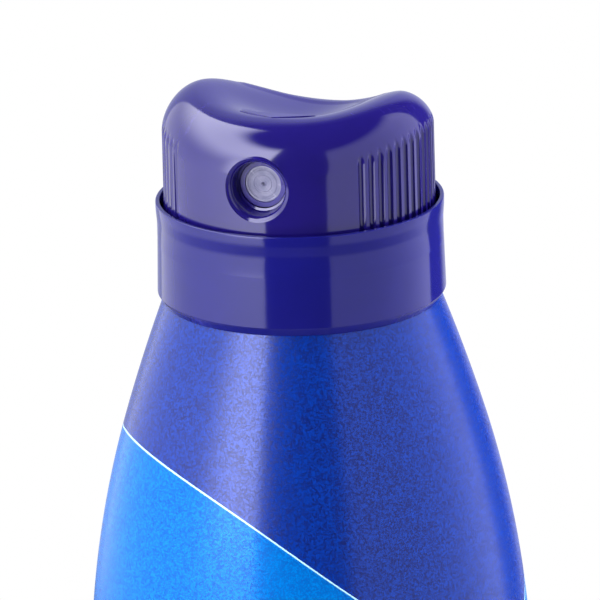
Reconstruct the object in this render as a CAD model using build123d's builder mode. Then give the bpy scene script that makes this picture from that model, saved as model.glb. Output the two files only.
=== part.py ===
from build123d import *
import os
from math import asin, cos, degrees, radians, sin, sqrt

# A pressurised spray can: a drawn aluminium can, a valve crimped into its 25.4 mm
# opening, and a twist-lock spray head that slides and turns in a clip-on collar.
# Millimetres, +Z up, origin at the centre of the foot. The nozzle faces -Y.

# ---- driving dimensions ---------------------------------------------------------
# can
can_r = 26.5              # outside of the straight body
can_wall = 0.45
opening_r = 12.7          # one-inch valve opening
cylinder_top = 118.9      # where the straight body turns into the shoulder
shoulder_break = 155.0    # where the shoulder's first arc meets the flatter one
shoulder_top = 169.2      # where the shoulder goes under the collar
lower_arc_r = 125.1
upper_arc_r = 221.0
neck_r = opening_r + 0.4
neck_foot_z = 171.6
foot_in_r = 21.8          # flat ring that the can stands on
foot_out_r = 23.4
foot_wall_z = 6.0         # where the foot's corner meets the straight body
foot_corner_mid = (25.75, 2.7)
knee_r = 2.0              # shoulder into the neck cone
throat_r = 0.5            # neck cone into the neck
dome_height = 8.5
curl_r = 1.2              # rolled edge of the opening, outside of its wire
curl_mid_r = opening_r + curl_r
curl_z = 173.25
curl_sheet = 0.4
lid_cut = 2.0             # depth of the cut that opens the neck

# valve
cup_sheet = 0.3
seal = 0.25               # sealing ring between cup and rolled edge
cup_wall_r = 12.45        # outside of the cup's inner wall
cup_floor_z = 170.3
cup_skirt = 0.5           # straight edge below the rolled lip
crimp_inset = 0.1         # centre of the crimp bead, inside the cup's wall
crimp_rise = 0.55
crimp_r = 0.5
crimp_hollow_r = 0.25
seal_foot_rise = 0.2
pedestal_r = 5.2
pedestal_top = 175.2
pedestal_hole_r = 2.4
pedestal_edge_r = 0.28
stem_r = 2.0
stem_top = 181.0
stem_flange_r = 2.9
stem_flange_top = 173.6
stem_flange_foot = 172.4
stem_overlap = 0.5        # how far the stem's steps run into its flange
stem_chamfer = 0.3
spigot_r = 1.55
spigot_length = 2.0
washer_top = pedestal_top - cup_sheet
washer_foot = washer_top - 1.2
housing_r = pedestal_r - cup_sheet - 0.05
chamber_r = 3.3
housing_wall = 0.8
housing_waist = 168.9
housing_head_foot = 169.5
feed_hole_r = 0.8
chamber_floor = 162.5
tail_r = 1.6
tail_foot = 153.0
tail_taper_foot = 160.0
tail_taper_top = 161.5
tail_chamfer = 0.3
wire_r = 0.25
coil_count = 6
spring_mid_r = 1.95
tube_wall = 0.5
tube_top_z = 159.0
bend_start = 112.0        # the tube runs straight down to here, then bends
bend_reach = 18.0
tube_end_z = 7.5
running_gap = 0.04

# collar
rim_z = 181.2             # top of the collar
collar_r = 17.0
collar_wall_r = 16.87
collar_flare_r = 17.05
collar_foot_r = 16.6
collar_bore_r = 16.0
well_r = 16.38            # upper well that the head slides in
collar_foot_z = 169.1
collar_lead = 0.47        # lead-in at the foot of the bore
collar_lead_top = 170.4
collar_flare_z = 170.0
collar_wall_top = 176.2   # above here the wall stands straight
lip_foot = 179.5          # the rim's lip
lip_full = 179.8
lip_edge_r = 0.15
rim_lead = 0.2            # lead-in at the top of the well
rim_lead_depth = 0.9
deck_foot = 175.1
deck_top = 176.3
deck_hole_r = 9.0
snap_r = 15.4
snap_count = 8
snap_arc = 22.0           # degrees
snap_mid_z = 172.15
snap_height = 0.9
overlap = 0.1             # how far joined features run into each other

# spray head
head_r = 16.09            # at its lower edge
head_foot = 178.4
head_height = 26.8        # of the plug before the dish is cut
head_taper = 0.3          # degrees of mould draft
head_wall = 1.35
dish_r = 18.5             # across the finger dish
dish_span = 11.0          # stations of the dish floor, before and behind the middle
dish_front = 12.7         # heights of the dish floor above the collar rim
dish_middle = 9.5
dish_back = 8.4
head_edge_r = 3.78
cavity_edge_r = 2.0
ridge_start = 45.4        # degrees from the nozzle to the first groove
ridge_pitch = 4.8
ridge_count = 19
groove_top = rim_z + 10.9
groove_r = 0.45
groove_depth = 0.35
window_z = rim_z + 5.26
window_r = 3.22
window_taper = 0.35
window_flare = 0.1
bevel_in = 0.3            # the window's bevelled edge, inside and outside of its radius
bevel_out = 0.7
bevel_depth = 1.0
insert_r = 2.2
insert_front = 13.1
insert_back = 10.6
guide_in_r = 7.6
guide_out_r = 8.6
guide_foot = 173.5
hook_out_r = 9.7
hook_count = 3
hook_start = 30.0
hook_width = 4.0
hook_height = 1.3
root = 0.4                # how far hooks and ribs run into the guide ring
ceiling_depth = 0.6       # how far the inner ribs run into the dish's wall
grip_foot = 184.7         # ring that grips the upright of the spray channel
grip_wall = 1.0
grip_gap = 0.03
arm_gap = 0.3
twist_travel = 90.0       # degrees from open to locked
stop_in_r = 9.4
stop_out_r = 11.4
stop_height = 4.2
stop_gap_angle = 5.4      # half a stop rib and its clearance
lug_mid_r = 13.4
lug_depth = 1.8
lug_width = 5.0
lug_height = 2.6
stop_rib_foot = 178.8
lock_rib_foot = 181.0     # stands clear of the lugs through the whole travel
lock_rib_mid_r = 13.7
lock_rib_depth = 2.4
rib_width = 1.6
channel_r = 3.6           # upright of the spray channel
channel_foot = 177.9
channel_top = rim_z + 7.0
boss_r = 2.75             # arm of the spray channel that carries the nozzle
boss_front = 13.3

# ---- helpers --------------------------------------------------------------------


def point_on_arc(centre, radius, angle):
    """Point on a circle in a vertical plane, at an angle in degrees from outwards."""
    turn = radians(angle)
    return (centre[0] + radius * cos(turn), centre[1] + radius * sin(turn))


def upright_plane(angle):
    """Vertical plane through the can's axis, turned by an angle in degrees from +X."""
    along = (cos(radians(angle)), sin(radians(angle)), 0)
    return Plane(origin=(0, 0, 0), x_dir=along, z_dir=(along[1], -along[0], 0))


def save(piece, name):
    """Label a finished piece and write it as its own STEP file."""
    piece.part.label = name
    export_step(piece.part, f"parts/{name}.step")


os.makedirs("parts", exist_ok=True)

# ---- can shell ------------------------------------------------------------------
# The shoulder is two tangent arcs: the first leaves the straight body vertically.
lower_centre = (can_r - lower_arc_r, cylinder_top)
lower_end_angle = degrees(asin((shoulder_break - cylinder_top) / lower_arc_r))
break_point = point_on_arc(lower_centre, lower_arc_r, lower_end_angle)
upper_centre = point_on_arc(break_point, -upper_arc_r, lower_end_angle)
upper_end_angle = degrees(asin((shoulder_top - upper_centre[1]) / upper_arc_r))
shoulder_end = point_on_arc(upper_centre, upper_arc_r, upper_end_angle)
dome_r = (foot_in_r ** 2 + dome_height ** 2) / (2 * dome_height)

with BuildPart() as can_shell:
    with BuildSketch(Plane.XZ) as can_section:
        with BuildLine():
            dome = CenterArc((0, dome_height - dome_r), dome_r, 90, -degrees(asin(foot_in_r / dome_r)))
            flat = Line(dome @ 1, (foot_out_r, 0))
            corner = ThreePointArc(flat @ 1, foot_corner_mid, (can_r, foot_wall_z))
            body = Line(corner @ 1, (can_r, cylinder_top))
            lower = CenterArc(lower_centre, lower_arc_r, 0, lower_end_angle)
            upper = CenterArc(upper_centre, upper_arc_r, lower_end_angle, upper_end_angle - lower_end_angle)
            cone = Line(upper @ 1, (neck_r, neck_foot_z))
            neck = Line(cone @ 1, (neck_r, curl_z))
            lid = Line(neck @ 1, (0, curl_z))
            mirror(about=Plane.YZ)
        make_face()
        knees = can_section.vertices().filter_by(lambda v: abs(abs(v.X) - shoulder_end[0]) < 0.01)
        fillet(knees, knee_r)
        throats = can_section.vertices().filter_by(
            lambda v: abs(abs(v.X) - neck_r) < 0.01 and v.Y < curl_z - 1)
        fillet(throats, throat_r)
        offset(amount=-can_wall, mode=Mode.SUBTRACT)
        with Locations((0, curl_z)):
            Rectangle(2 * opening_r, lid_cut, mode=Mode.SUBTRACT)
            Rectangle(3 * can_r, 3 * rim_z, align=(Align.MAX, Align.CENTER), mode=Mode.SUBTRACT)
        with Locations((curl_mid_r, curl_z)):
            Circle(curl_r)
            Circle(curl_r - curl_sheet, mode=Mode.SUBTRACT)
    revolve(axis=Axis.Z)
save(can_shell, "can_shell")

# ---- valve cup, its seal and the stem washer --------------------------------------
seal_out_r = curl_r + seal
cup_lip_r = seal_out_r + cup_sheet

with BuildPart() as cup_gasket:
    with BuildSketch(Plane.XZ):
        with Locations((curl_mid_r, curl_z)):
            Circle(seal_out_r)
            Circle(curl_r, mode=Mode.SUBTRACT)
        with Locations((curl_mid_r, curl_z + seal_foot_rise)):
            Rectangle(4 * curl_r, 4 * curl_r, align=(Align.CENTER, Align.MAX), mode=Mode.SUBTRACT)
    revolve(axis=Axis.Z)
save(cup_gasket, "cup_gasket")

with BuildPart() as valve_cup:
    # rolled lip over the can's edge
    with BuildSketch(Plane.XZ):
        with Locations((curl_mid_r, curl_z)):
            Circle(cup_lip_r)
            Circle(seal_out_r, mode=Mode.SUBTRACT)
            Rectangle(4 * cup_lip_r, 4 * cup_lip_r, align=(Align.CENTER, Align.MAX), mode=Mode.SUBTRACT)
        # outer skirt of the lip
        with Locations((curl_mid_r + seal_out_r, curl_z)):
            Rectangle(cup_sheet, cup_skirt, align=(Align.MIN, Align.MAX))
        # inner wall, floor and pedestal
        with Locations((cup_wall_r - cup_sheet, cup_floor_z)):
            Rectangle(cup_sheet, curl_z - cup_floor_z, align=(Align.MIN, Align.MIN))
        with Locations((pedestal_r - cup_sheet, cup_floor_z)):
            Rectangle(cup_wall_r - pedestal_r + cup_sheet, cup_sheet, align=(Align.MIN, Align.MIN))
            Rectangle(cup_sheet, pedestal_top - cup_floor_z, align=(Align.MIN, Align.MIN))
        with Locations((pedestal_hole_r, pedestal_top)):
            Rectangle(pedestal_r - pedestal_hole_r, cup_sheet, align=(Align.MIN, Align.MAX))
        # crimped bead that locks the cup under the rolled edge
        with Locations((cup_wall_r - crimp_inset, cup_floor_z + crimp_rise)):
            Circle(crimp_r)
    revolve(axis=Axis.Z)
    with BuildSketch(Plane.XZ):
        with Locations((cup_wall_r - crimp_inset, cup_floor_z + crimp_rise)):
            Circle(crimp_hollow_r)
    revolve(axis=Axis.Z, mode=Mode.SUBTRACT)
    pedestal_edge = valve_cup.edges().filter_by(GeomType.CIRCLE).filter_by(
        lambda e: abs(e.radius - pedestal_r) < 0.01 and e.center().Z > pedestal_top - 0.1)
    fillet(pedestal_edge, pedestal_edge_r)
save(valve_cup, "valve_cup")

with BuildPart() as stem_gasket:
    with BuildSketch(Plane.XY.offset(washer_foot)):
        Circle(housing_r)
        Circle(stem_r + running_gap, mode=Mode.SUBTRACT)
    extrude(amount=washer_top - washer_foot)
save(stem_gasket, "stem_gasket")

# ---- valve housing ----------------------------------------------------------------
with BuildPart() as valve_housing:
    with BuildSketch(Plane.XZ):
        with BuildLine():
            Polyline(
                (0, tail_foot),
                (tail_r, tail_foot),
                (tail_r, tail_taper_foot),
                (chamber_r + housing_wall, tail_taper_top),
                (chamber_r + housing_wall, housing_waist),
                (housing_r, housing_head_foot),
                (housing_r, washer_foot),
                (chamber_r, washer_foot),
                (chamber_r, chamber_floor),
                (0, chamber_floor),
                close=True)
        make_face()
    revolve(axis=Axis.Z)
    with Locations(Plane.XY.offset(chamber_floor)):
        Hole(radius=feed_hole_r)
    chamfer(valve_housing.edges().group_by(Axis.Z)[0].sort_by(SortBy.RADIUS)[-1], tail_chamfer)
save(valve_housing, "valve_housing")

# ---- dip tube: straight down, then one long bend to the corner of the foot ---------
tube_r = tail_r + tube_wall
bend_drop = bend_start - tube_end_z
bend_r = (bend_drop ** 2 + bend_reach ** 2) / (2 * bend_reach)
bend_angle = degrees(asin(bend_drop / bend_r))

with BuildPart() as dip_tube:
    with BuildLine(Plane.XZ):
        Line((0, tube_top_z), (0, bend_start))
        CenterArc((bend_r, bend_start), bend_r, 180, bend_angle)
    with BuildSketch(Plane.XY.offset(tube_top_z)):
        Circle(tube_r)
        Circle(tail_r, mode=Mode.SUBTRACT)
    sweep()
save(dip_tube, "dip_tube")

# ---- valve stem --------------------------------------------------------------------
stem_bore_r = 0.9
stem_bore_foot = 173.9
orifice_r = 0.3
orifice_z = (washer_foot + washer_top) / 2
with BuildPart() as valve_stem:
    with BuildSketch(Plane.XY.offset(stem_flange_foot)):
        Circle(stem_flange_r)
    extrude(amount=stem_flange_top - stem_flange_foot)
    with BuildSketch(Plane.XY.offset(stem_flange_foot - spigot_length)):
        Circle(spigot_r)
    extrude(amount=spigot_length + stem_overlap)
    with BuildSketch(Plane.XY.offset(stem_flange_top - stem_overlap)):
        Circle(stem_r)
    extrude(amount=stem_top - stem_flange_top + stem_overlap)
    chamfer(valve_stem.edges().group_by(Axis.Z)[-1], stem_chamfer)
    with BuildSketch(Plane.XY.offset(stem_top)):
        Circle(stem_bore_r)
    extrude(amount=stem_bore_foot - stem_top, mode=Mode.SUBTRACT)
    with BuildSketch(Plane.XZ):
        with Locations((0, orifice_z)):
            Circle(orifice_r)
    extrude(amount=2 * stem_r, both=True, mode=Mode.SUBTRACT)
save(valve_stem, "valve_stem")

# ---- valve spring: open coils between two closed end coils -------------------------
end_coil_z = (chamber_floor + wire_r, stem_flange_foot - wire_r)
spring_rise = end_coil_z[1] - end_coil_z[0]
with BuildPart() as valve_spring:
    with BuildLine(Plane.XY.offset(end_coil_z[0])) as coil_path:
        Helix(pitch=spring_rise / coil_count, height=spring_rise, radius=spring_mid_r)
    with BuildSketch(Plane(coil_path.line @ 0, z_dir=coil_path.line % 0)):
        Circle(wire_r)
    sweep(is_frenet=True)
    for z in end_coil_z:
        with BuildSketch(Plane.XZ):
            with Locations((spring_mid_r, z)):
                Circle(wire_r)
        revolve(axis=Axis.Z)
save(valve_spring, "valve_spring")

# ---- collar --------------------------------------------------------------------------
with BuildPart() as collar:
    with BuildSketch(Plane.XZ) as collar_section:
        with BuildLine():
            Polyline(
                (collar_bore_r + collar_lead, collar_foot_z),
                (collar_foot_r, collar_foot_z),
                (collar_flare_r, collar_flare_z),
                (collar_wall_r, collar_wall_top),
                (collar_wall_r, lip_foot),
                (collar_r, lip_full),
                (collar_r, rim_z),
                (well_r + rim_lead, rim_z),
                (well_r, rim_z - rim_lead_depth),
                (well_r, deck_top),
                (deck_hole_r, deck_top),
                (deck_hole_r, deck_foot),
                (collar_bore_r, deck_foot),
                (collar_bore_r, collar_lead_top),
                close=True)
        make_face()
        rim_corners = collar_section.vertices().filter_by(
            lambda v: v.Y > lip_foot and v.X > collar_r - 0.01)
        fillet(rim_corners.sort_by(Axis.Y)[-1], lip_edge_r)
    revolve(axis=Axis.Z)
    # snap beads that grip under the lip of the valve cup
    with BuildSketch(upright_plane(-snap_arc / 2)):
        with Locations((snap_r, snap_mid_z)):
            Rectangle(collar_bore_r - snap_r + overlap, snap_height, align=(Align.MIN, Align.CENTER))
    bead = revolve(axis=Axis.Z, revolution_arc=snap_arc, mode=Mode.PRIVATE)
    with PolarLocations(0, snap_count):
        add(bead)
    # two arc-shaped stops that end the twist
    with BuildSketch(upright_plane(twist_travel + stop_gap_angle)):
        with Locations((stop_in_r, deck_top)):
            Rectangle(stop_out_r - stop_in_r, stop_height, align=(Align.MIN, Align.MIN))
    stop_arc = revolve(axis=Axis.Z, revolution_arc=twist_travel - 2 * stop_gap_angle, mode=Mode.PRIVATE)
    with PolarLocations(0, 2):
        add(stop_arc)
    # two lock lugs that the head's ribs stand over when it is turned to lock
    with BuildSketch(Plane.XY.offset(deck_top)):
        with PolarLocations(lug_mid_r, 2, start_angle=twist_travel):
            Rectangle(lug_depth, lug_width)
    extrude(amount=lug_height)
save(collar, "collar")

# ---- head shell ------------------------------------------------------------------------
# The floor of the finger dish is a circle arc, front to back, through three stations,
# and its cross-section is a circle arc too, so the dish is part of a ring.
front_rise = dish_front - dish_middle
back_rise = dish_back - dish_middle
path_up = (2 * dish_span ** 2 + front_rise ** 2 + back_rise ** 2) / (2 * (front_rise + back_rise))
path_along = ((dish_span ** 2 + back_rise ** 2) / 2 - path_up * back_rise) / dish_span
path_r = sqrt(path_up ** 2 + path_along ** 2)
dish_axis = Axis((0, path_along, rim_z + dish_middle + path_up), (1, 0, 0))


def dish_ring(growth):
    """The ring that cuts the finger dish, grown by a wall to shape the cavity under it."""
    ring_plane = Plane(
        origin=(0, path_along, rim_z + dish_middle + path_up - path_r + dish_r),
        x_dir=(1, 0, 0), z_dir=(0, -1, 0))
    with BuildPart() as ring:
        with BuildSketch(ring_plane):
            Circle(dish_r + growth)
        revolve(axis=dish_axis)
    return ring.part


def domed_plug(radius, foot_z, growth, edge_r):
    """A tapered plug under the dish, with its top edge rounded."""
    ring = dish_ring(growth)
    with BuildPart() as plug:
        with BuildSketch(Plane.XY.offset(foot_z)):
            Circle(radius)
        extrude(amount=head_height, taper=head_taper)
        add(ring, mode=Mode.SUBTRACT)
        fillet(plug.edges().filter_by(lambda e: e.center().Z > rim_z + 3), edge_r)
    return plug.part


head_block = domed_plug(head_r, head_foot, 0, head_edge_r)
head_cavity = domed_plug(head_r - head_wall, head_foot - 0.01, head_wall, cavity_edge_r)

with BuildPart() as head_frame:
    # guide ring with hooks that catch under the collar's deck
    with BuildSketch(Plane.XY.offset(guide_foot)):
        Circle(guide_out_r)
        Circle(guide_in_r, mode=Mode.SUBTRACT)
    extrude(amount=head_height)
    with BuildSketch(Plane.XY.offset(guide_foot)):
        with PolarLocations((guide_out_r - root + hook_out_r) / 2, hook_count, start_angle=hook_start):
            Rectangle(hook_out_r - guide_out_r + root, hook_width)
    extrude(amount=hook_height)
    # ring that grips the upright of the spray channel
    with BuildSketch(Plane.XY.offset(grip_foot)):
        Circle(channel_r + grip_wall)
        Circle(channel_r + grip_gap, mode=Mode.SUBTRACT)
    extrude(amount=head_height / 2)
    # two stop ribs between the collar's stops
    with BuildSketch(Plane.XY.offset(stop_rib_foot)):
        with PolarLocations((guide_out_r - root + stop_out_r) / 2, 2):
            Rectangle(stop_out_r - guide_out_r + root, rib_width)
    extrude(amount=head_height)
    # way through for the arm that carries the nozzle
    with BuildSketch(Plane.XZ):
        with Locations((0, window_z - boss_r - arm_gap)):
            Rectangle(2 * (boss_r + arm_gap), head_height, align=(Align.CENTER, Align.MIN))
    extrude(amount=hook_out_r, mode=Mode.SUBTRACT)
    add(dish_ring(head_wall - ceiling_depth), mode=Mode.SUBTRACT)

with BuildPart() as head_shell:
    add(head_block)
    # grip grooves, fading out where the top edge rounds over
    groove_mid_r = head_r + groove_r - groove_depth
    side_sweep = (ridge_count - 1) * ridge_pitch
    with BuildSketch(Plane.XY.offset(head_foot)):
        for first in (ridge_start - 90, -ridge_start - side_sweep - 90):
            for groove in range(ridge_count):
                angle = radians(first + groove * ridge_pitch)
                with Locations((groove_mid_r * cos(angle), groove_mid_r * sin(angle))):
                    Circle(groove_r)
    extrude(amount=groove_top - head_foot, mode=Mode.SUBTRACT)
    add(head_cavity, mode=Mode.SUBTRACT)
    add(head_frame.part)
    # two ribs that stand over the collar's lugs when the head is turned to lock
    with BuildSketch(Plane.XY.offset(lock_rib_foot)):
        with PolarLocations(lock_rib_mid_r, 2):
            Rectangle(lock_rib_depth, rib_width)
    extrude(amount=channel_top - lock_rib_foot)
    # spray window: a tapering hole with a bevelled edge
    with Locations(Plane(origin=(0, -head_r + head_wall / 2, window_z), z_dir=(0, -1, 0))):
        Cone(window_r - window_taper, window_r + window_flare, 2 * head_wall, mode=Mode.SUBTRACT)
    with Locations(Plane(origin=(0, -head_r, window_z), z_dir=(0, -1, 0))):
        Cone(window_r - bevel_in, window_r + bevel_out, bevel_depth, mode=Mode.SUBTRACT)
save(head_shell, "head_shell")

# ---- spray channel: stem socket, upright and nozzle arm ------------------------------
duct_r = 1.1
duct_flare = 1.2          # widening of the duct behind the web
socket_top = 181.05
socket_chamfer = 0.35
web_front = 10.5          # web that carries the nozzle post
web_back = 9.6
post_r = 1.3
feed_r = 0.38
press_fit_gap = 0.01
recess_r = insert_r + press_fit_gap
recess_clear = 0.65       # from the front of the insert back to the end of the post
nozzle_plane = Plane(origin=(0, 0, window_z), x_dir=(1, 0, 0), z_dir=(0, -1, 0))

with BuildPart() as spray_channel:
    with BuildSketch(Plane.XY.offset(channel_foot)):
        Circle(channel_r)
    extrude(amount=channel_top - channel_foot)
    with BuildSketch(nozzle_plane):
        Circle(boss_r)
    extrude(amount=boss_front)
    with BuildSketch(Plane.XY.offset(channel_foot)):
        Circle(stem_r + running_gap)
    extrude(amount=socket_top - channel_foot, mode=Mode.SUBTRACT)
    with BuildSketch(Plane.XY.offset(channel_foot)):
        Circle(duct_r)
    extrude(amount=window_z - channel_foot, mode=Mode.SUBTRACT)
    with BuildSketch(nozzle_plane):
        Circle(duct_r)
    extrude(amount=web_back, mode=Mode.SUBTRACT)
    with BuildSketch(nozzle_plane.offset(web_back - duct_flare)):
        Circle(recess_r - overlap)
    extrude(amount=duct_flare, mode=Mode.SUBTRACT)
    # recess round the nozzle post, fed through two holes in the web
    with BuildSketch(nozzle_plane.offset(web_front)):
        Circle(recess_r)
        Circle(post_r, mode=Mode.SUBTRACT)
    extrude(amount=insert_front - web_front - recess_clear, mode=Mode.SUBTRACT)
    with BuildSketch(nozzle_plane.offset(insert_front - recess_clear)):
        Circle(recess_r)
    extrude(amount=boss_front - insert_front + recess_clear, mode=Mode.SUBTRACT)
    with BuildSketch(nozzle_plane.offset(web_back - overlap)):
        with GridLocations(post_r + recess_r, 0, 2, 1):
            Circle(feed_r)
    extrude(amount=web_front - web_back + 2 * overlap, mode=Mode.SUBTRACT)
    socket_lip = spray_channel.edges().group_by(Axis.Z)[0].sort_by(SortBy.RADIUS)
    chamfer(socket_lip, socket_chamfer)
save(spray_channel, "spray_channel")

# ---- nozzle insert: a small cup pressed over the post ---------------------------------
face_thickness = 0.6
spray_hole_r = 0.15
spray_mouth_r = 0.3
spray_hole_depth = 1.2
post_gap = 0.02
insert_chamfer = 0.1
with BuildPart() as nozzle_insert:
    with BuildSketch(nozzle_plane.offset(insert_back)):
        Circle(insert_r)
        Circle(post_r + post_gap, mode=Mode.SUBTRACT)
    extrude(amount=insert_front - insert_back - face_thickness)
    with BuildSketch(nozzle_plane.offset(insert_front - face_thickness)):
        Circle(insert_r)
    extrude(amount=face_thickness)
    with Locations(nozzle_plane.offset(insert_front)):
        CounterSinkHole(
            radius=spray_hole_r, counter_sink_radius=spray_mouth_r, depth=spray_hole_depth)
    chamfer(nozzle_insert.edges().group_by(Axis.Y)[0].sort_by(SortBy.RADIUS)[-1], insert_chamfer)
save(nozzle_insert, "nozzle_insert")
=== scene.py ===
import logging
import math
from dataclasses import dataclass, field
from enum import Enum

import bmesh
import bpy
import numpy as np
from mathutils import Matrix, Vector


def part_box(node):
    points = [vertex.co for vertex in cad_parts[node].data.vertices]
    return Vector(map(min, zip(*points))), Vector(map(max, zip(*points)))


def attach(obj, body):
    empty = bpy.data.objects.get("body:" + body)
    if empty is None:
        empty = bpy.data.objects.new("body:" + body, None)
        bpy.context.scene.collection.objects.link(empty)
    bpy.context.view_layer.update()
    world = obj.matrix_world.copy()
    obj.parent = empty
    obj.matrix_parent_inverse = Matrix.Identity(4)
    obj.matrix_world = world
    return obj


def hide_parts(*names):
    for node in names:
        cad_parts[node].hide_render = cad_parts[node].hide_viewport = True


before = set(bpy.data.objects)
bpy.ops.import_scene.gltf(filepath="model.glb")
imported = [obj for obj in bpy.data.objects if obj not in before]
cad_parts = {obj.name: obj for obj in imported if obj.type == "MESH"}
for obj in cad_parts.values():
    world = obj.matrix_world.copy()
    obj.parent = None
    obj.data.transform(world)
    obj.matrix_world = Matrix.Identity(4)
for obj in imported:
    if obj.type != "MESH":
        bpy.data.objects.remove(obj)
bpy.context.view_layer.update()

LOG = logging.getLogger("spray_can")
MM = 0.001
RIM_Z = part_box("collar")[1].z / MM      # top of the collar, the height that all others start from


# ---------------------------------------------------------------- options and colours


class Band(Enum):
    """Which of a piece's materials a face takes."""

    OUTSIDE = 0
    BARE = 1


class Blend(Enum):
    """How two numbers or colours are put together."""

    ADD = "ADD"
    SUBTRACT = "SUBTRACT"
    MULTIPLY = "MULTIPLY"
    DIVIDE = "DIVIDE"
    POWER = "POWER"
    COSINE = "COSINE"
    SINE = "SINE"
    ATAN2 = "ARCTAN2"
    MAXIMUM = "MAXIMUM"
    MINIMUM = "MINIMUM"
    ABSOLUTE = "ABSOLUTE"
    ROUND = "ROUND"
    SQRT = "SQRT"
    LESS = "LESS_THAN"


def shade(red: int, green: int, blue: int) -> tuple[float, float, float, float]:
    """A colour written on the usual 0 to 255 scale, as the renderer's linear one.

    Args:
        red, green, blue: The three parts of the colour.

    Returns:
        Linear red, green and blue, and a full alpha.
    """
    parts = []
    for part in (red, green, blue):
        level = part / 255
        parts.append(level / 12.92 if level <= 0.04045 else ((level + 0.055) / 1.055) ** 2.4)
    return (*parts, 1.0)


# ---------------------------------------------------------------- wiring node trees


class Wiring:
    """A node tree that is being wired, shader or geometry."""

    def __init__(self, tree: bpy.types.NodeTree) -> None:
        """Start wiring a tree.

        Args:
            tree: The node tree.
        """
        self.tree = tree

    def node(self, kind: str, **settings: object) -> bpy.types.Node:
        """Add a node.

        Args:
            kind: Its type name.
            settings: Properties set on it.

        Returns:
            The node.
        """
        made = self.tree.nodes.new(kind)
        for name, value in settings.items():
            setattr(made, name, value)
        return made

    def feed(self, socket: bpy.types.NodeSocket, value: object) -> None:
        """Give a socket a link or a constant.

        Args:
            socket: The input.
            value: Another socket, or the constant.
        """
        if isinstance(value, bpy.types.NodeSocket):
            self.tree.links.new(value, socket)
        elif value is not None:
            socket.default_value = value

    def fill(self, node: bpy.types.Node, **values: object) -> bpy.types.Node:
        """Feed a node's inputs by name; an underscore stands for a space.

        Args:
            node: The node.
            values: Links or constants.

        Returns:
            The same node.
        """
        for name, value in values.items():
            self.feed(node.inputs[name.replace("_", " ")], value)
        return node

    def math(self, how: Blend, first: object, second: object = None,
             clamp: bool = False) -> bpy.types.NodeSocket:
        """Do a sum on one or two numbers.

        Args:
            how: The operation.
            first, second: Links or constants.
            clamp: Keep the result between 0 and 1.

        Returns:
            The result.
        """
        made = self.node("ShaderNodeMath", operation=how.value, use_clamp=clamp)
        self.feed(made.inputs[0], first)
        self.feed(made.inputs[1], second)
        return made.outputs[0]

    def ramp(self, value: object, low: object, high: object, start: object = 0.0,
             end: object = 1.0) -> bpy.types.NodeSocket:
        """Map a number smoothly from one range to another.

        Args:
            value: The number.
            low, high: The range it comes from.
            start, end: The range it goes to.

        Returns:
            The mapped number.
        """
        made = self.node("ShaderNodeMapRange", interpolation_type="SMOOTHSTEP")
        self.fill(made, Value=value, From_Min=low, From_Max=high, To_Min=start, To_Max=end)
        return made.outputs["Result"]

    def mix(self, factor: object, first: object, second: object) -> bpy.types.NodeSocket:
        """Mix two colours.

        Args:
            factor: The share of the second.
            first, second: Links or colours.

        Returns:
            The mixed colour.
        """
        made = self.node("ShaderNodeMix", data_type="RGBA")
        self.feed(made.inputs["Factor"], factor)
        self.feed(made.inputs[6], first)
        self.feed(made.inputs[7], second)
        return made.outputs[2]

    def noise(self, where: object, scale: object, detail: float = 2.0,
              roughness: float = 0.5) -> bpy.types.NodeSocket:
        """A noise pattern.

        Args:
            where: The coordinates.
            scale: Its fineness per metre.
            detail, roughness: How much finer pattern rides on it.

        Returns:
            The noise, about 0.5 in the middle.
        """
        made = self.node("ShaderNodeTexNoise")
        self.fill(made, Vector=where, Scale=scale, Detail=detail, Roughness=roughness)
        return made.outputs["Fac"]


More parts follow.
